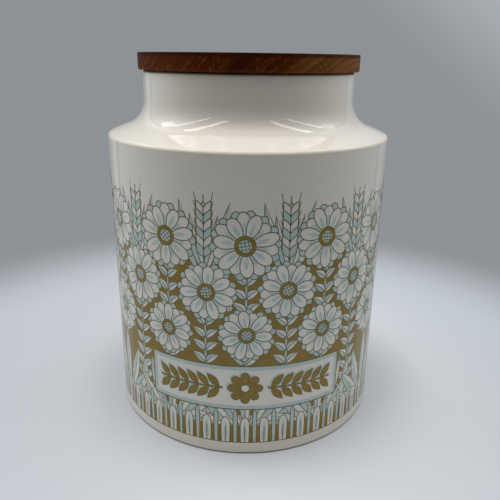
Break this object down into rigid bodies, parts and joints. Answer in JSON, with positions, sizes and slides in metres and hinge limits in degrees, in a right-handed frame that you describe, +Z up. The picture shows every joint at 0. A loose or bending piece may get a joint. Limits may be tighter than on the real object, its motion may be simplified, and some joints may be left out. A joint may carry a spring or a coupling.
{
  "type": "food canister",
  "caption": "Round glazed storage jar with a narrower neck, closed by a flat wooden lid whose plug carries a finned seal ring.",
  "frame": {"origin": "centre of the foot ring, on the standing plane", "axes": "+Z up along the jar's axis; -Y is the front, which faces the viewer; +X is to the viewer's right"},
  "size_m": [0.154, 0.154, 0.1996],
  "materials": {
    "glaze": "glossy warm white glaze",
    "teak": "oiled teak, turned, satin",
    "seal": "dark flexible moulding, matt",
    "bare_clay": "unglazed fired clay of the foot ring",
    "print_olive": "olive-gold screen print under gloss",
    "print_mint": "pale mint screen print under gloss",
    "print_line": "dark green-grey outline print under gloss"
  },
  "bodies": {
    "jar": {"jar": "glaze"},
    "seal": {"seal_ring": "seal"},
    "lid": {"lid": "teak"}
  },
  "joints": [
    {"name": "lid_lift", "type": "slide", "parent": "jar", "child": "seal", "axis": [0, 0, 1], "range_m": [0, 0.08]},
    {"name": "lid_turn", "type": "hinge", "parent": "seal", "child": "lid", "pos_m": [0, 0, 0.1915], "axis": [0, 0, 1], "continuous": true}
  ]
}
